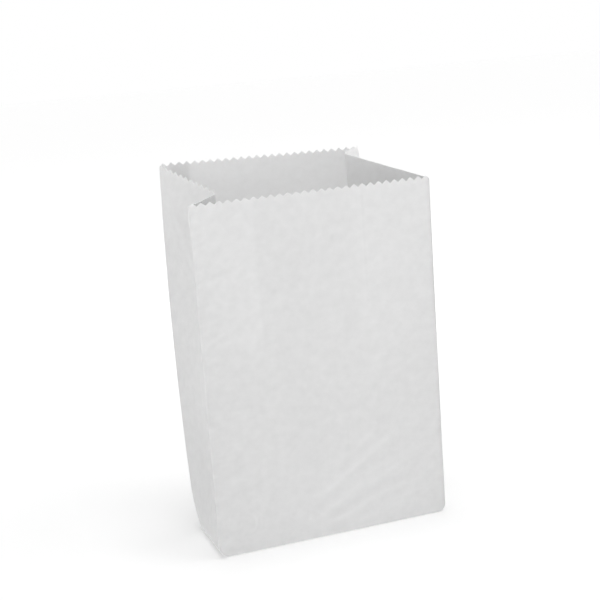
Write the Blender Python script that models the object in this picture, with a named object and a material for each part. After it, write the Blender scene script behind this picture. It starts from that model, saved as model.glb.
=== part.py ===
"""Gusseted paper bag with a pinked mouth, standing open on its folded bottom.

The bag is one sheet of paper. A front, a back and two gussets of two halves run round it
and meet in six upright folds, each half has a slanting crease, and a flat base closes it.
It is drawn from the bottom left corner of its front panel, with +X along the front, +Y
towards the back and +Z up, and is then centred over its box.
"""
import math

import bmesh
import bpy
from mathutils import Vector

MM = 0.001

# Overall size
WIDTH = 150.0 * MM
PAPER = 0.5 * MM
BASE_DEPTH = 55.0 * MM

# The bag is a wedge: its front and back panels both lean out from the base
FRONT_LEAN = math.radians(3.0)
BACK_LEAN = math.radians(11.6)

# Heights of the mouth at its six folds, to the bottoms of the teeth
RIM_FRONT = 212.4 * MM
RIM_BACK_LEFT = 229.4 * MM
RIM_BACK_RIGHT = 226.4 * MM
RIM_RIDGE_LEFT = 213.0 * MM
RIM_RIDGE_RIGHT = 228.4 * MM

# The bottom corners: rounded on the front panel, and eased in on the back one
ROUND_LEFT = 8.0 * MM
ROUND_RIGHT = 5.5 * MM
BACK_EASE = 3.0 * MM
BACK_EASE_HEIGHT = 30.0 * MM

# The back panel is a little narrower than the front one, and drawn in at the mouth's left
BACK_INSET = 1.3 * MM
PINCH_LEFT = 11.4 * MM
PINCH_RIGHT = -1.4 * MM

# How far each gusset is tucked in: flat at the base, shallow above, and a deep V at the mouth
TUCK_BODY = 7.5 * MM
TUCK_LEFT = 26.0 * MM
TUCK_RIGHT = 31.0 * MM
BODY_FROM = 10.0 * MM
BODY_FULL = 60.0 * MM
VEE_FROM = 118.0 * MM
VEE_FULL = 196.0 * MM

# Each half of a gusset also bends along a crease that runs down from the mouth's corner to
# the middle fold. Outside it the paper stays near the plane of the side.
CREASE_AT_MOUTH = 0.05
CREASE_LOWEST = 0.85
CREASE_DROP = 78.0 * MM
SIDE_SWING = math.radians(8.0)

# Pinked edge, as teeth per panel
TOOTH_HEIGHT = 2.0 * MM
TOOTH_BAND = 3.0 * MM
FRONT_TEETH = 29
BACK_TEETH = 26
GUSSET_TEETH = 11

# Mesh divisions
WIDE_COLUMNS = 10
STRIP_COLUMNS = 2
VEE_COLUMNS = 3
LOW_ROWS = tuple(height * MM for height in (0.6, 1.8, 3.6, 6.0, 9.0, 14.0, 21.0, 30.0, 40.0))
MIDDLE_ROWS = tuple(height * MM for height in (50.0, 60.0, 78.0, 98.0, 118.0))
HIGH_ROWS = tuple(height * MM for height in (131.0, 144.0, 157.0, 170.0, 183.0, 196.0))

PAPER_COLOUR = (0.78, 0.78, 0.78, 1.0)
PAPER_ROUGHNESS = 0.9


def clear_scene():
    for item in list(bpy.data.objects):
        bpy.data.objects.remove(item, do_unlink=True)


def round_inset(height, radius):
    """How far a side stands in from its upright line, where it rounds into the base."""
    if height >= radius:
        return 0.0
    return radius - math.sqrt(radius ** 2 - (radius - height) ** 2)


def front_depth(height):
    return -height * math.tan(FRONT_LEAN)


def back_depth(height):
    return BASE_DEPTH + height * math.tan(BACK_LEAN)


def back_inset(height, rim, pinch):
    """How far an upright edge of the back panel stands in from the front panel's width."""
    ease = BACK_EASE * max(0.0, 1.0 - height / BACK_EASE_HEIGHT) ** 2
    return ease + BACK_INSET + pinch * (height / rim) ** 2


def smooth_step(height, start, end):
    """Rises from 0 to 1 between two heights, level at both."""
    run = min(max((height - start) / (end - start), 0.0), 1.0)
    return run * run * (3.0 - 2.0 * run)


def tuck_depth(height, at_mouth):
    """How far a gusset's middle fold stands in from its side."""
    body = TUCK_BODY * smooth_step(height, BODY_FROM, BODY_FULL)
    return body + (at_mouth - body) * smooth_step(height, VEE_FROM, VEE_FULL)


def front_left(share):
    height = share * RIM_FRONT
    return Vector((round_inset(height, ROUND_LEFT), front_depth(height), height))


def front_right(share):
    height = share * RIM_FRONT
    inset = round_inset(height, ROUND_RIGHT)
    return Vector((WIDTH - inset, front_depth(height), height))


def back_left(share):
    height = share * RIM_BACK_LEFT
    inset = back_inset(height, RIM_BACK_LEFT, PINCH_LEFT)
    return Vector((inset, back_depth(height), height))


def back_right(share):
    height = share * RIM_BACK_RIGHT
    inset = back_inset(height, RIM_BACK_RIGHT, PINCH_RIGHT)
    return Vector((WIDTH - inset, back_depth(height), height))


def ridge(front, back, rim, at_mouth, inward, share):
    """The fold down the middle of a gusset, pushed in by its tuck."""
    height = share * rim
    middle = (front(share) + back(share)) / 2
    return Vector((middle.x + inward * tuck_depth(height, at_mouth), middle.y, height))


def ridge_left(share):
    return ridge(front_left, back_left, RIM_RIDGE_LEFT, TUCK_LEFT, 1.0, share)


def ridge_right(share):
    return ridge(front_right, back_right, RIM_RIDGE_RIGHT, TUCK_RIGHT, -1.0, share)


def crease(corner, middle_fold, share):
    """The slanting fold of a gusset half, which keeps its outer strip in the side's plane."""
    start = corner(share)
    across = middle_fold(share) - start
    run = min((1.0 - share) * RIM_FRONT / CREASE_DROP, 1.0)
    reach = min(CREASE_AT_MOUTH + (1.0 - CREASE_AT_MOUTH) * run, CREASE_LOWEST)
    swing = max(math.atan2(abs(across.x), abs(across.y)) - SIDE_SWING, 0.0)
    stand_out = across.length * reach * math.sin(swing) * (1.0 - run)
    outward = Vector((across.y, -across.x, 0.0)).normalized()
    if outward.x * (start.x - WIDTH / 2) < 0.0:
        outward = -outward
    return start + reach * across + stand_out * outward


def crease_left_front(share):
    return crease(front_left, ridge_left, share)


def crease_left_back(share):
    return crease(back_left, ridge_left, share)


def crease_right_front(share):
    return crease(front_right, ridge_right, share)


def crease_right_back(share):
    return crease(back_right, ridge_right, share)


# The ten folds in order round the bag, and the columns and teeth from each to the next
FOLDS = (front_left, front_right, crease_right_front, ridge_right, crease_right_back,
         back_right, back_left, crease_left_back, ridge_left, crease_left_front)
COLUMNS = (WIDE_COLUMNS, STRIP_COLUMNS, VEE_COLUMNS, VEE_COLUMNS, STRIP_COLUMNS,
           WIDE_COLUMNS, STRIP_COLUMNS, VEE_COLUMNS, VEE_COLUMNS, STRIP_COLUMNS)
TEETH = (FRONT_TEETH, 0, 0, GUSSET_TEETH, 0, BACK_TEETH, 0, GUSSET_TEETH, 0, 0)


def inward_normal(start, end):
    return Vector((start.y - end.y, end.x - start.x, 0.0)).normalized()


def inner_points(outer, share):
    """The folds of the inside skin: mitred in by the paper, and above the base by as much."""
    inner = []
    for index, point in enumerate(outer):
        before = inward_normal(outer[index - 1], point)
        after = inward_normal(point, outer[(index + 1) % len(outer)])
        mitre = (before + after) / (1.0 + before.dot(after))
        lift = Vector((0.0, 0.0, 1.0 - share))
        inner.append(point + PAPER * (mitre + lift))
    return inner


def fold_points(share, inside):
    outer = [fold(share) for fold in FOLDS]
    return inner_points(outer, share) if inside else outer


def ring(mesh, share, inside, steps, peaks):
    """One course of vertices round the bag, as (place along, vertex) pairs per panel.

    Each panel ends on the first vertex of the next, so neighbours share a fold. steps holds
    each panel's number of vertices, and peaks how much higher every second one stands.
    """
    points = fold_points(share, inside)
    panels = []
    for index, (count, peak) in enumerate(zip(steps, peaks)):
        start = points[index]
        end = points[(index + 1) % len(points)]
        panel = []
        for step in range(count):
            point = start.lerp(end, step / count)
            point.z += peak * (step % 2)
            panel.append((step / count, mesh.verts.new(point)))
        panels.append(panel)
    return [panel + [(1.0, panels[(index + 1) % len(panels)][0][1])]
            for index, panel in enumerate(panels)]


def join_rings(mesh, lower, upper):
    """Fills the band between two rings, whatever number of vertices each has."""
    for below, above in zip(lower, upper):
        if len(below) == len(above):
            for index in range(len(below) - 1):
                mesh.faces.new((below[index][1], below[index + 1][1],
                                above[index + 1][1], above[index][1]))
        else:
            fan_band(mesh, below, above)


def fan_band(mesh, below, above):
    low = 0
    high = 0
    while low < len(below) - 1 or high < len(above) - 1:
        low_next = below[low + 1][0] if low < len(below) - 1 else math.inf
        high_next = above[high + 1][0] if high < len(above) - 1 else math.inf
        if high_next <= low_next:
            mesh.faces.new((below[low][1], above[high + 1][1], above[high][1]))
            high += 1
        else:
            mesh.faces.new((below[low][1], below[low + 1][1], above[high][1]))
            low += 1


def base_face(mesh, lowest):
    mesh.faces.new([vertex for panel in lowest for _, vertex in panel[:-1]])


def skin(mesh, inside):
    """One side of the paper, from the base to the teeth. Gives back its pinked rim."""
    heights = (0.0,) + LOW_ROWS + MIDDLE_ROWS + HIGH_ROWS
    level = [0.0] * len(FOLDS)
    rings = [ring(mesh, height / RIM_FRONT, inside, COLUMNS, level) for height in heights]
    one_a_tooth = [teeth or columns for teeth, columns in zip(TEETH, COLUMNS)]
    rings.append(ring(mesh, 1.0 - TOOTH_BAND / RIM_FRONT, inside, one_a_tooth, level))
    two_a_tooth = [2 * teeth or columns for teeth, columns in zip(TEETH, COLUMNS)]
    peaks = [TOOTH_HEIGHT if teeth else 0.0 for teeth in TEETH]
    rings.append(ring(mesh, 1.0, inside, two_a_tooth, peaks))
    base_face(mesh, rings[0])
    for lower, upper in zip(rings, rings[1:]):
        join_rings(mesh, lower, upper)
    return rings[-1]


def paper_material():
    material = bpy.data.materials.new("bleached_kraft_paper")
    material.use_nodes = True
    shader = material.node_tree.nodes["Principled BSDF"]
    shader.inputs["Base Color"].default_value = PAPER_COLOUR
    shader.inputs["Roughness"].default_value = PAPER_ROUGHNESS
    shader.inputs["Metallic"].default_value = 0.0
    return material


def make_bag():
    mesh = bmesh.new()
    outer_rim = skin(mesh, inside=False)
    inner_rim = skin(mesh, inside=True)
    join_rings(mesh, outer_rim, inner_rim)
    bmesh.ops.recalc_face_normals(mesh, faces=mesh.faces)
    depths = [vertex.co.y for vertex in mesh.verts]
    data = bpy.data.meshes.new("bag")
    mesh.to_mesh(data)
    mesh.free()
    bag = bpy.data.objects.new("bag", data)
    bpy.context.collection.objects.link(bag)
    bag.location = (-WIDTH / 2, -(min(depths) + max(depths)) / 2, 0.0)
    bag.data.materials.append(paper_material())


clear_scene()
make_bag()
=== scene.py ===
"""Looks for the gusseted paper bag: its folded sheet, its glued bottom, and a pale studio."""
import math

import bpy
import numpy as np
from mathutils import Matrix, Vector, noise


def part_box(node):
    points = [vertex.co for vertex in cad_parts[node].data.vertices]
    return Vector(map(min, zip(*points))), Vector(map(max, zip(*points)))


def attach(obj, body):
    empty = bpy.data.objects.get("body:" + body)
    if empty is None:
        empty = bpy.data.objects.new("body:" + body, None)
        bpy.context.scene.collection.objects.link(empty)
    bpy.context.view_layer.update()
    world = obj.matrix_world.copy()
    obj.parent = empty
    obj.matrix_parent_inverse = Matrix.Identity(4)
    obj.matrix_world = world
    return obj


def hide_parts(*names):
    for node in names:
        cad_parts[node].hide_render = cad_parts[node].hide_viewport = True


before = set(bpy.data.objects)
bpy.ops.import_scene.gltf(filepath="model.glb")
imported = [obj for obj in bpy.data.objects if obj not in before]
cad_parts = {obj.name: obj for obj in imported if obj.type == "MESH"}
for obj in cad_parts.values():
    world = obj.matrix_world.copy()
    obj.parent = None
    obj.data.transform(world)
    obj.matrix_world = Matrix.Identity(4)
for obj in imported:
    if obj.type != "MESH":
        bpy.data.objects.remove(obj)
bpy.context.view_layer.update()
low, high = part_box("bag")


# ---------------------------------------------------------------------------
# The bag: one sheet of bleached kraft paper, wrapped into a tube whose two long edges are lapped
# and glued down the back. It is creased into a front, a back and two gussets, and pinked across
# the mouth. Its lower end is folded under into four glued flaps, which make the flat bottom.
# ---------------------------------------------------------------------------

MM = 0.001
WIDTH = 150.0 * MM
PAPER = 0.4 * MM
BASE_DEPTH = 55.0 * MM
FRONT_LEAN = math.radians(3.0)
BACK_LEAN = math.radians(11.6)
RIM_FRONT = 212.4 * MM
RIM_BACK_LEFT = 229.4 * MM
RIM_BACK_RIGHT = 226.4 * MM
RIM_RIDGE_LEFT = 213.0 * MM
RIM_RIDGE_RIGHT = 228.4 * MM

# Bottom corners: rounded on the front panel, eased in on the back one, which the mouth pinches
ROUND_LEFT = 8.0 * MM
ROUND_RIGHT = 5.5 * MM
BACK_EASE = 3.0 * MM
BACK_EASE_HEIGHT = 30.0 * MM
BACK_INSET = 1.3 * MM
PINCH_LEFT = 11.4 * MM
PINCH_RIGHT = -1.4 * MM

# Where the sheet stands in the frame: the front panel's lower left corner
LEFT_X = low.x
FRONT_Y = low.y + RIM_FRONT * math.tan(FRONT_LEAN)


def smooth_step(value):
    """0 below 0, 1 above 1, and an S curve between. Takes numbers and whole arrays."""
    value = np.clip(value, 0.0, 1.0)
    return value * value * (3.0 - 2.0 * value)


def corner_round(height, radius):
    """How far a side stands in from its upright line, where its bottom corner is rounded."""
    if height >= radius:
        return 0.0
    return radius - math.sqrt(radius ** 2 - (radius - height) ** 2)


def front_fold(side, height):
    """A front corner of the bag: side 0 is the left one, 1 the right one."""
    inset = corner_round(height, ROUND_RIGHT if side else ROUND_LEFT)
    x = WIDTH - inset if side else inset
    return Vector((x, -height * math.tan(FRONT_LEAN), height))


def back_fold(side, height):
    """A back corner of the bag."""
    rim = RIM_BACK_RIGHT if side else RIM_BACK_LEFT
    pinch = PINCH_RIGHT if side else PINCH_LEFT
    ease = BACK_EASE * max(0.0, 1.0 - height / BACK_EASE_HEIGHT) ** 2
    inset = ease + BACK_INSET + pinch * (height / rim) ** 2
    x = WIDTH - inset if side else inset
    return Vector((x, BASE_DEPTH + height * math.tan(BACK_LEAN), height))


# A gusset is a shallow trough from the bottom up, and opens into a deep V towards the mouth
TUCK_MOUTH = (26.0 * MM, 31.0 * MM)
TUCK_BODY = 7.5 * MM
BODY_FROM = 10.0 * MM
BODY_FULL = 60.0 * MM
VEE_FROM = 118.0 * MM
VEE_FULL = 196.0 * MM

# Each half bends once more, along a crease that slants from the mouth's corner down to the
# middle fold. Outside it the paper stays near the plane of the side. The crease is sharp at
# the mouth and rounder as it fades.
CREASE_AT_MOUTH = 0.05
CREASE_DROP = 78.0 * MM
CREASE_ENDS = 0.999
CREASE_ROUND_TOP = 0.9 * MM
CREASE_ROUND_FOOT = 3.0 * MM
CREASE_ROUND_FULL = 0.6
CREASE_ROOM = 0.9
SIDE_SWING = math.radians(8.0)


def bent_half(corner, ridge, drop, place):
    """A point across a gusset half, from its corner (0) to its ridge (1).

    drop is how far down from the mouth the course lies, as a share of the crease's own drop."""
    across = ridge - corner
    reach = CREASE_AT_MOUTH + (1.0 - CREASE_AT_MOUTH) * drop
    swing = math.atan2(abs(across.x), abs(across.y)) - SIDE_SWING
    if drop >= CREASE_ENDS or swing <= 0.0:
        return corner + across * place
    outward = Vector((-math.copysign(abs(across.y), across.x),
                      math.copysign(abs(across.x), across.y), 0.0)).normalized()
    stand_out = across.length * reach * math.sin(swing) * (1.0 - drop)
    crease = corner + across * reach + outward * stand_out
    faded = min(1.0, drop / CREASE_ROUND_FULL)
    crease_round = CREASE_ROUND_TOP + (CREASE_ROUND_FOOT - CREASE_ROUND_TOP) * faded
    soft = min(crease_round / across.length, reach * CREASE_ROOM, (1.0 - reach) * CREASE_ROOM)
    if place <= reach - soft:
        return corner.lerp(crease, place / reach)
    if place >= reach + soft:
        return crease.lerp(ridge, (place - reach) / (1.0 - reach))
    start = corner.lerp(crease, (reach - soft) / reach)
    end = crease.lerp(ridge, soft / (1.0 - reach))
    run = (place - reach + soft) / (2.0 * soft)
    return start.lerp(crease, run).lerp(crease.lerp(end, run), run)


def gusset_point(side, back, place, share):
    """A point across a gusset half, from its corner (0) to the gusset's middle (1)."""
    front_corner = front_fold(side, share * RIM_FRONT)
    back_corner = back_fold(side, share * (RIM_BACK_RIGHT if side else RIM_BACK_LEFT))
    height = share * (RIM_RIDGE_RIGHT if side else RIM_RIDGE_LEFT)
    body = TUCK_BODY * smooth_step((height - BODY_FROM) / (BODY_FULL - BODY_FROM))
    vee = smooth_step((height - VEE_FROM) / (VEE_FULL - VEE_FROM))
    tuck = (body + (TUCK_MOUTH[side] - body) * vee) * (-1.0 if side else 1.0)
    middle = (front_corner + back_corner) / 2
    ridge = Vector((middle.x + tuck, middle.y, height))
    drop = min((1.0 - share) * RIM_FRONT / CREASE_DROP, 1.0)
    point = bent_half(back_corner if back else front_corner, ridge, drop, place)
    trough = math.sin(place * math.pi / 2) - place
    point.x += tuck * trough * (1.0 - vee)
    return point


# Panels in their order along the sheet: where each starts and ends, its teeth, and how many
# columns go to a tooth. The sheet starts and ends on the back, at the glued lap.
FRONT_TEETH = 29
BACK_TEETH = 26
HALF_TEETH = 11
LAP_FROM = 22.5 / BACK_TEETH
LAP_TO = 24.5 / BACK_TEETH
PANELS = (
    ("back", LAP_FROM, 1.0, BACK_TEETH, 2),
    ("left_back", 0.0, 1.0, HALF_TEETH, 2),
    ("left_front", 0.0, 1.0, HALF_TEETH, 2),
    ("front", 0.0, 1.0, FRONT_TEETH, 6),
    ("right_front", 0.0, 1.0, HALF_TEETH, 2),
    ("right_back", 0.0, 1.0, HALF_TEETH, 2),
    ("back", 0.0, LAP_TO, BACK_TEETH, 2),
)
HALF_WIDTH = 50.0 * MM
PANEL_WIDTH = {"front": WIDTH, "back": WIDTH, "left_back": HALF_WIDTH, "left_front": HALF_WIDTH,
               "right_front": HALF_WIDTH, "right_back": HALF_WIDTH}
PANEL_OFFSET = {"back": 0.0, "left_back": WIDTH, "left_front": WIDTH + HALF_WIDTH,
                "front": WIDTH + 2 * HALF_WIDTH, "right_front": 2 * WIDTH + 2 * HALF_WIDTH,
                "right_back": 2 * WIDTH + 3 * HALF_WIDTH}
INWARD = {"front": Vector((0, 1, 0)), "back": Vector((0, -1, 0)),
          "left_back": Vector((1, 0, 0)), "left_front": Vector((1, 0, 0)),
          "right_front": Vector((-1, 0, 0)), "right_back": Vector((-1, 0, 0))}
FOLD_STEPS = 4
FOLD_REACH = 0.7 * MM


def panel_point(panel, place, share):
    """A point of the folded sheet before it is handled. place runs 0 to 1 along the panel."""
    if panel == "front":
        height = share * RIM_FRONT
        return front_fold(0, height).lerp(front_fold(1, height), place)
    if panel == "back":
        right = back_fold(1, share * RIM_BACK_RIGHT)
        return right.lerp(back_fold(0, share * RIM_BACK_LEFT), place)
    side = 0 if panel.startswith("left") else 1
    from_corner = place if panel in ("left_back", "right_front") else 1.0 - place
    return gusset_point(side, panel.endswith("back"), from_corner, share)


def sheet_columns():
    """Every column of the sheet, as (panel, place, tooth, panel after a fold, run round it).

    tooth is 0 in a valley and 1 on a peak. The fronts of the gussets are cut plain."""
    columns = []
    for index, (panel, start, end, teeth, steps) in enumerate(PANELS):
        folds_after = index < len(PANELS) - 1
        first = round(start * teeth * steps) + (index > 0)
        last = round(end * teeth * steps) - folds_after
        for step in range(first, last + 1):
            tooth = 1.0 - abs(2.0 * (step / steps % 1.0) - 1.0)
            if panel.endswith("_front"):
                tooth = 0.0
            columns.append((panel, step / (teeth * steps), tooth, None, 0.0))
        if folds_after:
            for step in range(FOLD_STEPS + 1):
                columns.append((panel, 1.0, 0.0, PANELS[index + 1][0], step / FOLD_STEPS))
    return columns


def sheet_point(column, share):
    """A point of the sheet, with its folds rounded."""
    panel, place, _, after, run = column
    if after is None:
        return panel_point(panel, place, share)
    start = panel_point(panel, 1.0 - FOLD_REACH / PANEL_WIDTH[panel], share)
    end = panel_point(after, FOLD_REACH / PANEL_WIDTH[after], share)
    middle = panel_point(panel, 1.0, share)
    return start.lerp(middle, run).lerp(middle.lerp(end, run), run)


# Courses of the sheet: the flaps under the bottom, the turn up from them, and the walls, which
# end with the valleys of the teeth, a line just under the cut, and the cut itself
FLAP_STEPS = 6
TURN_STEPS = 4
TURN_RADIUS = 1.3 * MM
LOW_WALL = [height * MM for height in (1.9, 2.7, 3.8, 5.2, 6.8)]
WALL_FROM, WALL_TO, WALL_COURSES = 8.5, 208.4, 115
FULL_WALL = [height * MM for height in np.linspace(WALL_FROM, WALL_TO, WALL_COURSES)]
WALL = LOW_WALL + FULL_WALL
TOOTH_HEIGHT = 2.0 * MM
CUT_LINE = 0.25 * MM
FLAP_DEPTH = {"front": 36.0 * MM, "back": 30.0 * MM, "left_back": 27.0 * MM,
              "left_front": 27.0 * MM, "right_front": 27.0 * MM, "right_back": 27.0 * MM}
BACK_FLAP_LIFT = PAPER + 0.1 * MM
FLAP_LIFT_REACH = 6.0 * MM
MITRE_GAP = 0.3 * MM


def is_corner(column):
    """Whether a column lies on one of the bag's four upright corners."""
    return column[3] is not None and INWARD[column[0]] != INWARD[column[3]]


def draw_in(point, share, inset):
    """Moves a point of a low course in by an inset from the bag's outline, with mitred corners."""
    front = [front_fold(side, share * RIM_FRONT) for side in (0, 1)]
    back = [back_fold(0, share * RIM_BACK_LEFT), back_fold(1, share * RIM_BACK_RIGHT)]
    point.y = min(max(point.y, front[0].y + inset), back[0].y - inset)
    depth = (point.y - front[0].y) / (back[0].y - front[0].y)
    left = front[0].x + (back[0].x - front[0].x) * depth
    right = front[1].x + (back[1].x - front[1].x) * depth
    point.x = min(max(point.x, left + inset), right - inset)
    return point


def flap_depth(column, foot):
    """How far in a column's flap reaches: flaps end short of each other along their mitres."""
    panel = column[0]
    if is_corner(column):
        return TURN_RADIUS
    if panel == "front":
        from_corner = min(foot.x - front_fold(0, 0.0).x, front_fold(1, 0.0).x - foot.x)
    elif panel == "back":
        from_corner = min(foot.x - back_fold(0, 0.0).x, back_fold(1, 0.0).x - foot.x)
    else:
        from_corner = min(foot.y, BASE_DEPTH - foot.y)
    return max(min(FLAP_DEPTH[panel], from_corner - MITRE_GAP), TURN_RADIUS)


def course_point(column, course):
    """A point of the folded sheet, on any course from a flap's end up to the pinked edge."""
    if course >= COURSES - 1:
        below = 0.0 if course == COURSES else CUT_LINE
        point = sheet_point(column, 1.0 - below / RIM_FRONT)
        point.z += column[2] * TOOTH_HEIGHT
        return point
    if course > FLAP_STEPS + TURN_STEPS:
        return sheet_point(column, WALL[course - FLAP_STEPS - TURN_STEPS - 1] / RIM_FRONT)
    turn = max(course - FLAP_STEPS, 0) / TURN_STEPS * math.pi / 2
    share = TURN_RADIUS * (1.0 - math.cos(turn)) / RIM_FRONT
    foot = sheet_point(column, share)
    point = draw_in(foot.copy(), share, TURN_RADIUS * (1.0 - math.sin(turn)))
    reach = (flap_depth(column, foot) - TURN_RADIUS) * max(1.0 - course / FLAP_STEPS, 0.0)
    point += INWARD[column[0]] * reach
    if column[0] == "back":
        point.z += BACK_FLAP_LIFT * smooth_step(reach / FLAP_LIFT_REACH)
    return point


COURSES = FLAP_STEPS + TURN_STEPS + len(WALL) + 2
columns = sheet_columns()
place = np.array([[course_point(column, course) for column in columns]
                  for course in range(COURSES + 1)])


# Handling has left the paper a little out of flat. Everything below is how far it stands out
# from the folded shape, along the sheet's own normals. A layer of crumple is given by its
# lengths along and up the sheet, its slice of the noise, and its height, all in millimetres.
SWELL = (62.0, 70.0, 1.7, 0.28)
DENTS = (19.0, 17.0, 5.3, 0.08)
GRAIN = (4.2, 5.5, 9.1, 0.012)
DENT_ROUGHNESS = 0.9
DENT_LACUNARITY = 2.1
DENT_OCTAVES = 3


def noise_spot(layer, along, height):
    """Where a layer of crumple reads the noise, for a point of the sheet."""
    return Vector((along / layer[0], height / layer[1], layer[2]))


def crumple(along, height):
    """The paper's own slow swells and shallow dents."""
    swell = noise.noise(noise_spot(SWELL, along, height))
    dents = noise.fractal(noise_spot(DENTS, along, height), DENT_ROUGHNESS, DENT_LACUNARITY,
                          DENT_OCTAVES)
    fine = noise.noise(noise_spot(GRAIN, along, height))
    return SWELL[3] * swell + DENTS[3] * dents + GRAIN[3] * fine


# The share of a line's length over which each of its ends fades
LINE_FADE = 0.5


def line_distance(across, height, line):
    """How far each point of the front lies from a line, and its fade at the ends (0 to 1)."""
    start, end = np.array(line[:2]), np.array(line[2:4])
    run = end - start
    length = float(np.hypot(*run))
    along = ((across - start[0]) * run[0] + (height - start[1]) * run[1]) / length
    off = ((across - start[0]) * run[1] - (height - start[1]) * run[0]) / length
    done = along / length
    start_fade = smooth_step((done + LINE_FADE / 2) / LINE_FADE)
    end_fade = smooth_step((1.0 + LINE_FADE / 2 - done) / LINE_FADE)
    return off, start_fade * end_fade


# Ridges and creases pressed into the front, in millimetres from its lower left corner: where
# each starts and ends, its half width, and how far it stands out (creases stand in)
FRONT_RIDGES = (
    (66, 28, 100, 49, 2.8, 0.45),
    (100, 49, 116, 59, 2.4, 0.30),
    (70, 19, 106, 37, 2.4, 0.28),
    (74, 10, 108, 23, 2.8, 0.45),
    (108, 23, 134, 28, 2.4, 0.34),
    (86, 5, 120, 13, 2.2, 0.26),
    (94, 28, 124, 41, 2.2, 0.26),
    (60, 12, 84, 24, 2.4, 0.22),
    (106, 14, 136, 21, 2.0, 0.18),
    (90, 52, 106, 64, 2.2, 0.16),
    (112, 41, 138, 47, 2.2, 0.18),
    (84, 35, 104, 46, 2.0, -0.25),
    (84, 18, 112, 29, 2.0, -0.22),
    (46, 169, 62, 158, 1.1, -0.12),
    (114, 119, 126, 108, 1.1, -0.12),
    (87, 52, 87, 72, 1.2, -0.12),
    (106, 60, 109, 78, 1.3, -0.10),
    (109, 78, 107, 96, 1.3, -0.10),
    (70, 182, 80, 190, 1.4, 0.15),
    (12, 46, 28, 52, 1.8, 0.16),
    (14, 40, 30, 41, 1.8, -0.16),
    (8, 91, 34, 92, 1.2, -0.09),
    (106, 106, 113, 111, 2.4, 0.20),
    (2, 5, 9, 11, 2.4, 0.25),
)

# Broken arcs round a point low on the left of the front
SWIRL_AT = (18.0, 20.0)
SWIRL_STEP = 3.4
SWIRL_HEIGHT = 0.13
SWIRL_RADIUS = 7.0
SWIRL_SPREAD = 6.0
SWIRL_WOBBLE = 1.3
SWIRL_WHOLE = 0.45
SWIRL_BREAKS = 0.6
SWIRL_BREAK_TURNS = 1.5
SWIRL_BREAK_STEP = 4.0

# Fields of wrinkles: height, lie in degrees, length and breadth. Two cover the left third, one
# above the other, and a fainter one the whole front.
WRINKLES_HIGH = (0.22, 25.0, 11.0, 2.6)
WRINKLES_LOW = (0.20, 8.0, 10.0, 2.8)
WRINKLES_ALL = (0.07, 60.0, 6.0, 4.5)
LEFT_THIRD = 30.0
WRINKLES_FROM, WRINKLES_FROM_EASE = 28.0, 20.0
HIGH_FROM, HIGH_EASE = 90.0, 40.0
LOW_TO, LOW_EASE = 110.0, 30.0


def felted(across, height, wrinkles):
    """Short irregular wrinkles that all lie at one angle."""
    rise, lie, length, breadth = wrinkles
    turn = math.radians(lie)
    along = (across * math.cos(turn) + height * math.sin(turn)) / length
    off = (height * math.cos(turn) - across * math.sin(turn)) / breadth
    spots = zip(along.ravel(), off.ravel())
    field = np.array([noise.noise(Vector((a, b, lie))) for a, b in spots])
    return rise * field.reshape(across.shape)


def front_relief(across, height):
    """How far the front stands out: its ridges, streaks and swirl, in millimetres."""
    rise = np.zeros_like(across)
    for line in FRONT_RIDGES:
        off, ends = line_distance(across, height, line)
        rise += line[5] * np.exp(-(off / line[4]) ** 2) * ends
    from_swirl = np.hypot(across - SWIRL_AT[0], height - SWIRL_AT[1])
    round_swirl = np.arctan2(height - SWIRL_AT[1], across - SWIRL_AT[0])
    arcs = np.cos(2.0 * math.pi * from_swirl / SWIRL_STEP
                  + SWIRL_WOBBLE * np.sin(2.0 * round_swirl))
    breaks = np.sin(round_swirl * SWIRL_BREAK_TURNS + from_swirl / SWIRL_BREAK_STEP)
    broken = smooth_step(SWIRL_WHOLE + SWIRL_BREAKS * breaks)
    near = np.exp(-((from_swirl - SWIRL_RADIUS) / SWIRL_SPREAD) ** 2)
    rise += SWIRL_HEIGHT * arcs * broken * near
    left_third = np.exp(-(across / LEFT_THIRD) ** 2)
    left_third = left_third * smooth_step((height - WRINKLES_FROM) / WRINKLES_FROM_EASE)
    high_part = left_third * smooth_step((height - HIGH_FROM) / HIGH_EASE)
    low_part = left_third * smooth_step((LOW_TO - height) / LOW_EASE)
    rise += felted(across, height, WRINKLES_HIGH) * high_part
    rise += felted(across, height, WRINKLES_LOW) * low_part
    rise += felted(across, height, WRINKLES_ALL)
    return rise


# Marks on the front, in the same millimetres: spots as centre, radius and change of tone, and
# lines as start, end, half width and change of tone
FRONT_SPOTS = (
    (85, 185, 1.2, -0.07),
    (77, 187, 2.2, 0.03),
    (47, 157, 2.0, -0.03),
    (43, 100, 2.0, -0.03),
    (36, 119, 2.0, -0.03),
    (91, 135, 2.0, -0.03),
    (81, 126, 2.0, -0.03),
    (49, 19, 1.2, -0.05),
    (59, 14, 1.3, 0.05),
    (131, 91, 1.4, 0.03),
)
FRONT_LINES = (
    (104, 150, 104, 215, 0.7, 0.014),
    (105.4, 150, 105.4, 215, 0.6, -0.016),
    (107, 150, 107, 215, 0.7, 0.014),
    (69, 175, 69, 215, 1.2, 0.012),
    (76, 175, 76, 215, 1.2, 0.012),
)

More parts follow.
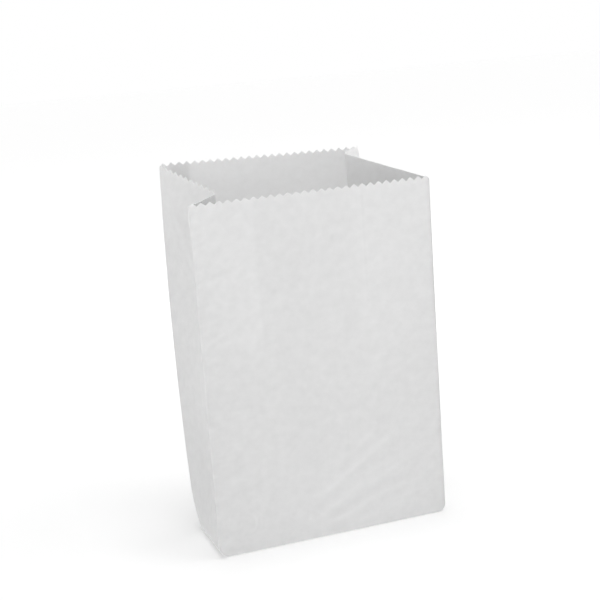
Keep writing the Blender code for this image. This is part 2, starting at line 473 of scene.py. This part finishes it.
# Broad changes of tone, each with where it lies and how far it reaches. The paler left and right
# parts, the paler left edge and the darker right edge are painted light and shade, and so are the
# low and the middle one, which aren't marks in the paper: they even out how the studio's light
# falls on it.
LEFT_PAINTED_TO, LEFT_PAINTED_EASE, LEFT_PAINTED_FROM, LEFT_PAINTED_RISE, LEFT_PAINTED_LIGHT = 39.5, 3.0, 112.0, 22.0, 0.03
PATCH_AT, PATCH_SPREAD, PATCH_TONE = (33.0, 132.0), (6.0, 12.0), 0.012
RIGHT_FROM, RIGHT_EASE, RIGHT_ABOVE, RIGHT_RISE, RIGHT_PAINTED_LIGHT = 95.0, 7.0, 95.0, 50.0, 0.022
LOW_TONE_TO, LOW_TONE_EASE, LOW_TONE = 85.0, 75.0, 0.045
MIDDLE_AT, MIDDLE_SPREAD, MIDDLE_TONE = 62.0, 26.0, -0.03
LEFT_EDGE_REACH, LEFT_EDGE_HIGHLIGHT = 4.0, 0.035
RIGHT_EDGE_REACH, RIGHT_EDGE_SHADE = 5.0, -0.03

# Painted highlights: the raw cut and the front left fold are painted paler. Painted light: the
# inside is painted paler. Painted shading of the relief: the front's ridges are painted paler and
# its creases darker.
CUT_HIGHLIGHT = 0.10
RELIEF_PAINTED_SHADING = 0.16
INSIDE_PAINTED_LIGHT = 0.08
LEFT_FOLD_HIGHLIGHT = 0.05


def front_tone(across, height):
    """How much lighter or darker the front is than plain paper.

    The left and right parts and the left edge are painted paler and the right edge darker:
    painted light and shade. The lower part is made paler and a band left of the middle darker,
    to even out the light."""
    # Painted light: the front's left part is painted paler
    left_painted = smooth_step((LEFT_PAINTED_TO - across) / LEFT_PAINTED_EASE)
    tone = LEFT_PAINTED_LIGHT * left_painted * smooth_step((height - LEFT_PAINTED_FROM) / LEFT_PAINTED_RISE)
    tone += PATCH_TONE * np.exp(-((across - PATCH_AT[0]) / PATCH_SPREAD[0]) ** 2
                                - ((height - PATCH_AT[1]) / PATCH_SPREAD[1]) ** 2)
    # Painted light: the front's right part is painted paler
    right = smooth_step((across - RIGHT_FROM) / RIGHT_EASE)
    tone += RIGHT_PAINTED_LIGHT * right * smooth_step((height - RIGHT_ABOVE) / RIGHT_RISE)
    tone += LOW_TONE * smooth_step((LOW_TONE_TO - height) / LOW_TONE_EASE)
    tone += MIDDLE_TONE * np.exp(-((across - MIDDLE_AT) / MIDDLE_SPREAD) ** 2)
    # A painted highlight by the left fold and painted shade by the right fold
    tone += LEFT_EDGE_HIGHLIGHT * np.exp(-across / LEFT_EDGE_REACH)
    tone += RIGHT_EDGE_SHADE * np.exp(-(WIDTH / MM - across) / RIGHT_EDGE_REACH)
    for x, z, radius, change in FRONT_SPOTS:
        tone += change * np.exp(-((across - x) ** 2 + (height - z) ** 2) / radius ** 2)
    for line in FRONT_LINES:
        off, ends = line_distance(across, height, line)
        tone += line[5] * np.exp(-(off / line[4]) ** 2) * ends
    return tone


# How far, in millimetres, the crumple and the front's relief keep off the folds, how high the
# stiff foot of the wall reaches, and how far the front dips towards its two folds
CRUMPLE_OFF_FOLD = 9.0
RELIEF_OFF_FOLD = 4.0
STIFF_TO, STIFF_EASE = 1.0, 12.0
FOLD_EASE = 8.0
FOLD_DIP = 0.4
FOLD_DIP_RISE = 12.0
TINY = 1e-12
normals = np.cross(np.gradient(place, axis=1), np.gradient(place, axis=0))
normals /= np.maximum(np.linalg.norm(normals, axis=2, keepdims=True), TINY)
first_wall = FLAP_STEPS + TURN_STEPS + 1
wall_heights = WALL + [RIM_FRONT, RIM_FRONT]
front_columns = [index for index, column in enumerate(columns)
                 if column[0] == "front" and column[3] is None]
normals *= -np.sign(normals[COURSES // 2, front_columns[0], 1])

rise = np.zeros(place.shape[:2])
tone = np.zeros(place.shape[:2])
for course in range(first_wall, COURSES + 1):
    height = wall_heights[course - first_wall] / MM
    for index, (panel, where, _, after, _) in enumerate(columns):
        if after is None:
            along = (PANEL_OFFSET[panel] + where * PANEL_WIDTH[panel]) / MM
            from_fold = min(where, 1.0 - where) * PANEL_WIDTH[panel] / MM
            off_fold = smooth_step(from_fold / CRUMPLE_OFF_FOLD)
            rise[course, index] = crumple(along, height) * off_fold
across = np.array([[columns[index][1] * WIDTH / MM for index in front_columns]])
up = np.array([[height / MM] for height in wall_heights])
across, up = np.broadcast_arrays(across, up)
from_fold = np.minimum(across, WIDTH / MM - across)
relief = front_relief(across, up)
rise[first_wall:, front_columns] += relief * smooth_step(from_fold / RELIEF_OFF_FOLD)
rise *= smooth_step((place[:, :, 2] / MM - STIFF_TO) / STIFF_EASE)
ease = np.maximum(1.0 - from_fold / FOLD_EASE, 0.0) ** 2
rise[first_wall:, front_columns] -= FOLD_DIP * ease * smooth_step(up / FOLD_DIP_RISE)
# The front's ridges are painted paler and its creases darker: painted shading of its relief
tone[first_wall:, front_columns] = front_tone(across, up) + RELIEF_PAINTED_SHADING * relief
# The front left fold is painted paler: a painted highlight
fold_after_gusset = [index for index, column in enumerate(columns) if column[3] == "front"]
tone[first_wall:, fold_after_gusset] += LEFT_FOLD_HIGHLIGHT
# The pinked cut is painted paler: a painted highlight
tone[COURSES] += CUT_HIGHLIGHT
place += normals * (rise * MM)[:, :, None]

# The glued lap: the sheet's first stretch lies inside its last one. sheer is how far light
# passes through the paper: not where it is doubled, in the lap and the bottom's flaps.
LAP_GLUE = 0.06 * MM
LAP_EASE = 1.2
half_way = len(columns) // 2
sheer = np.ones(place.shape[:2])
sheer[:FLAP_STEPS] = 0.0
for index, column in enumerate(columns):
    if column[0] != "back" or column[3] is not None:
        continue
    past_lap = (column[1] - LAP_TO) * BACK_TEETH
    if index < half_way:
        inside = 1.0 - smooth_step(past_lap / LAP_EASE)
        place[:, index] -= normals[:, index] * (PAPER + LAP_GLUE) * inside
    if LAP_FROM <= column[1] <= LAP_TO:
        sheer[:, index] = 0.0

place += np.array((LEFT_X, FRONT_Y, 0.0))
MERGE_WITHIN = 0.001 * MM
SMOOTH_UP_TO = math.radians(50.0)
bpy.ops.object.select_all(action="DESELECT")
bpy.ops.mesh.primitive_grid_add(x_subdivisions=len(columns) - 1, y_subdivisions=COURSES,
                                size=1.0)
bag = bpy.context.object
bag.name = "bag_sheet"
grid = np.empty(len(bag.data.vertices) * 3)
bag.data.vertices.foreach_get("co", grid)
grid = grid.reshape(-1, 3)
column_of = np.rint((grid[:, 0] + 0.5) * (len(columns) - 1)).astype(int)
course_of = np.rint((grid[:, 1] + 0.5) * COURSES).astype(int)
bag.data.vertices.foreach_set("co", place[course_of, column_of].ravel())
bag.data.attributes.new("tone", "FLOAT", "POINT")
bag.data.attributes["tone"].data.foreach_set("value", 1.0 + tone[course_of, column_of])
bag.data.attributes.new("sheer", "FLOAT", "POINT")
bag.data.attributes["sheer"].data.foreach_set("value", sheer[course_of, column_of])
bag.data.update()

bpy.ops.object.mode_set(mode="EDIT")
bpy.ops.mesh.select_all(action="SELECT")
bpy.ops.mesh.remove_doubles(threshold=MERGE_WITHIN)
bpy.ops.mesh.normals_make_consistent(inside=False)
bpy.ops.object.mode_set(mode="OBJECT")
# The sheet is open at the mouth, so which of its faces is the outer one is settled here
facing_out = sum(face.area * face.normal.dot(face.center - (low + high) / 2)
                 for face in bag.data.polygons)
if facing_out < 0.0:
    bpy.ops.object.mode_set(mode="EDIT")
    bpy.ops.mesh.flip_normals()
    bpy.ops.object.mode_set(mode="OBJECT")
bpy.ops.object.modifier_add(type="SOLIDIFY")
bag.modifiers[-1].thickness = PAPER
bag.modifiers[-1].offset = -1.0
outer_count = len(bag.data.vertices)
bpy.ops.object.modifier_apply(modifier=bag.modifiers[-1].name)
# The vertices past outer_count are the inner skin, which is painted paler: painted light that
# stands in for the light that reaches the inside of the bag
for spot in bag.data.attributes["tone"].data[outer_count:]:
    spot.value += INSIDE_PAINTED_LIGHT
bpy.ops.object.shade_smooth_by_angle(angle=SMOOTH_UP_TO)


def srgb(code):
    """An sRGB hex colour as the linear values that Blender's sockets take, opaque."""
    parts = [int(code[i:i + 2], 16) / 255 for i in (1, 3, 5)]
    linear = [c / 12.92 if c <= 0.04045 else ((c + 0.055) / 1.055) ** 2.4 for c in parts]
    return linear + [1.0]


def add_node(tree, kind, settings=None, **links):
    """Adds a node, sets its properties, and fills its sockets with values or other sockets."""
    node = tree.nodes.new(kind)
    for name, value in (settings or {}).items():
        setattr(node, name, value)
    for name, value in links.items():
        socket = node.inputs[int(name[1:])] if name[0] == "i" and name[1:].isdigit() else \
            node.inputs[name.replace("_", " ")]
        if isinstance(value, bpy.types.NodeSocket):
            tree.links.new(value, socket)
        else:
            socket.default_value = value
    return node


# Paper clouds where its fibres flocked, about 5.5 mm apart. A fibre is some 0.03 mm thick, too
# fine to show, so the grain is drawn coarser, at 0.9 mm.
CLOUD_STEP = 5.5 * MM
GRAIN_STEP = 0.9 * MM
GRAIN_RELIEF = 0.12 * MM
CLOUD_RELIEF = 0.4 * MM
LIGHT_REACH = 1.1 * MM


def bleached_kraft():
    """Bleached kraft paper, machine finished: matt, faintly cloudy, with a fine felt grain.

    Light soaks through one layer of it, so its shaded faces glow a little."""
    material = bpy.data.materials.new("bleached_kraft_paper_matt")
    material.use_nodes = True
    tree = material.node_tree
    tree.nodes.clear()
    output = add_node(tree, "ShaderNodeOutputMaterial")
    spot = add_node(tree, "ShaderNodeTexCoord").outputs["Object"]
    cloud = add_node(tree, "ShaderNodeTexNoise", Vector=spot, Scale=1.0 / CLOUD_STEP,
                     Detail=4.0, Roughness=0.6)
    fibre = add_node(tree, "ShaderNodeTexNoise", Vector=spot, Scale=1.0 / GRAIN_STEP,
                     Detail=3.0, Roughness=0.55)
    colour = add_node(tree, "ShaderNodeValToRGB", i0=cloud.outputs["Fac"])
    colour.color_ramp.elements[0].position = 0.3
    colour.color_ramp.elements[0].color = srgb("#EDEDED")
    colour.color_ramp.elements[1].position = 0.7
    colour.color_ramp.elements[1].color = srgb("#F3F3F3")
    bump = add_node(tree, "ShaderNodeBump", Strength=0.25, Distance=GRAIN_RELIEF,
                    Height=fibre.outputs["Fac"])
    soft = add_node(tree, "ShaderNodeBump", Strength=0.3, Distance=CLOUD_RELIEF,
                    Height=cloud.outputs["Fac"], Normal=bump.outputs["Normal"])
    # The tone attribute holds the front's marks and the painted light and shade: painted
    # highlights, painted shade, and the inside painted paler
    tone = add_node(tree, "ShaderNodeAttribute", {"attribute_name": "tone"})
    sheer = add_node(tree, "ShaderNodeAttribute", {"attribute_name": "sheer"})
    shade = add_node(tree, "ShaderNodeVectorMath", {"operation": "SCALE"},
                     i0=colour.outputs["Color"], i3=tone.outputs["Fac"])
    shader = add_node(tree, "ShaderNodeBsdfPrincipled", Base_Color=shade.outputs["Vector"],
                      Roughness=0.82, Normal=soft.outputs["Normal"],
                      Subsurface_Weight=sheer.outputs["Fac"],
                      Subsurface_Radius=(1.0, 1.0, 1.0), Subsurface_Scale=LIGHT_REACH)
    tree.links.new(shader.outputs["BSDF"], output.inputs["Surface"])
    return material


bag.data.materials.clear()
bag.data.materials.append(bleached_kraft())
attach(bag, "root")
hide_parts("bag")


# ---------------------------------------------------------------------------
# The studio: a plain matt table of opal acrylic, which is cast in sheets and lit from below, a
# white light tent round it that is brightest near the horizon, three soft lamps, and the camera.
# ---------------------------------------------------------------------------

# The table glows more away from the bag, in metres from its middle, so that it reads as white
TABLE_SIZE = 60.0
TABLE_GLOW = 0.25
TABLE_EDGE_GLOW = 0.80
GLOW_FROM, GLOW_TO = 0.13, 0.75
bpy.ops.object.select_all(action="DESELECT")
bpy.ops.mesh.primitive_plane_add(size=TABLE_SIZE, location=(0.0, 0.0, 0.0))
floor = bpy.context.object
floor.name = "pale_table"
table = bpy.data.materials.new("opal_acrylic_lit_from_below")
table.use_nodes = True
table_tree = table.node_tree
table_spot = add_node(table_tree, "ShaderNodeTexCoord").outputs["Object"]
from_bag = add_node(table_tree, "ShaderNodeVectorMath", {"operation": "LENGTH"}, i0=table_spot)
table_glow = add_node(table_tree, "ShaderNodeMapRange", {"interpolation_type": "SMOOTHSTEP"},
                      Value=from_bag.outputs["Value"], From_Min=GLOW_FROM,
                      From_Max=GLOW_TO, To_Min=TABLE_GLOW, To_Max=TABLE_EDGE_GLOW)
opal = table_tree.nodes["Principled BSDF"]
opal.inputs["Base Color"].default_value = srgb("#F6F6F6")
opal.inputs["Roughness"].default_value = 0.9
opal.inputs["Emission Color"].default_value = srgb("#FFFFFF")
table_tree.links.new(table_glow.outputs["Result"], opal.inputs["Emission Strength"])
floor.data.materials.append(table)

# The tent's strength near the horizon and above, and the heights between which it changes, as
# the upward part of a direction
TENT_FOOT = 1.0
TENT_TOP = 0.15
FOOT_ENDS, TOP_STARTS = 0.12, 0.3
world = bpy.data.worlds.new("soft_studio")
bpy.context.scene.world = world
world.use_nodes = True
tent = world.node_tree
direction = add_node(tent, "ShaderNodeTexCoord").outputs["Generated"]
height_seen = add_node(tent, "ShaderNodeSeparateXYZ", Vector=direction).outputs["Z"]
wall_of_light = add_node(tent, "ShaderNodeMapRange", Value=height_seen, From_Min=FOOT_ENDS,
                         From_Max=TOP_STARTS, To_Min=TENT_FOOT, To_Max=TENT_TOP)
tent.links.new(wall_of_light.outputs["Result"], tent.nodes["Background"].inputs["Strength"])
tent.nodes["Background"].inputs["Color"].default_value = srgb("#FFFFFF")


LAMP_DISTANCE = 1.6
LAMP_SIZE = 1.0


def soft_light(name, azimuth, elevation, power):
    """A square soft box that faces the bag. Azimuth 0 is in front, 90 degrees to the left."""
    direction = Vector((-math.sin(azimuth) * math.cos(elevation),
                        -math.cos(azimuth) * math.cos(elevation), math.sin(elevation)))
    data = bpy.data.lights.new(name, "AREA")
    data.shape = "SQUARE"
    data.size = LAMP_SIZE
    data.energy = power
    light = bpy.data.objects.new(name, data)
    bpy.context.scene.collection.objects.link(light)
    middle = (low + high) / 2
    light.location = middle + direction * LAMP_DISTANCE
    light.rotation_euler = direction.to_track_quat("Z", "Y").to_euler()


soft_light("overhead_lamp", 0.0, math.radians(89.0), 18.0)
soft_light("front_lamp", 0.0, math.radians(15.0), 0.6)
soft_light("right_lamp", math.radians(-55.0), math.radians(50.0), 2.8)

CAMERA_PLACE = (-0.25645, -0.76389, 0.28510)
CAMERA_LENS = 78.0
CAMERA_AZIMUTH = math.radians(18.944)
CAMERA_TILT = math.radians(10.174)
CAMERA_ROLL = math.radians(-5.14)
camera_data = bpy.data.cameras.new("camera")
camera_data.lens = CAMERA_LENS
camera_data.sensor_width = 36.0
camera_data.clip_start = 0.01
camera = bpy.data.objects.new("camera", camera_data)
bpy.context.scene.collection.objects.link(camera)
turned = Matrix.Rotation(-CAMERA_AZIMUTH, 3, "Z")
tilted = Matrix.Rotation(math.pi / 2 - CAMERA_TILT, 3, "X")
rolled = Matrix.Rotation(CAMERA_ROLL, 3, "Z")
camera.rotation_euler = (turned @ tilted @ rolled).to_euler()
camera.location = CAMERA_PLACE
bpy.context.scene.camera = camera
bpy.context.scene.view_settings.view_transform = "Standard"
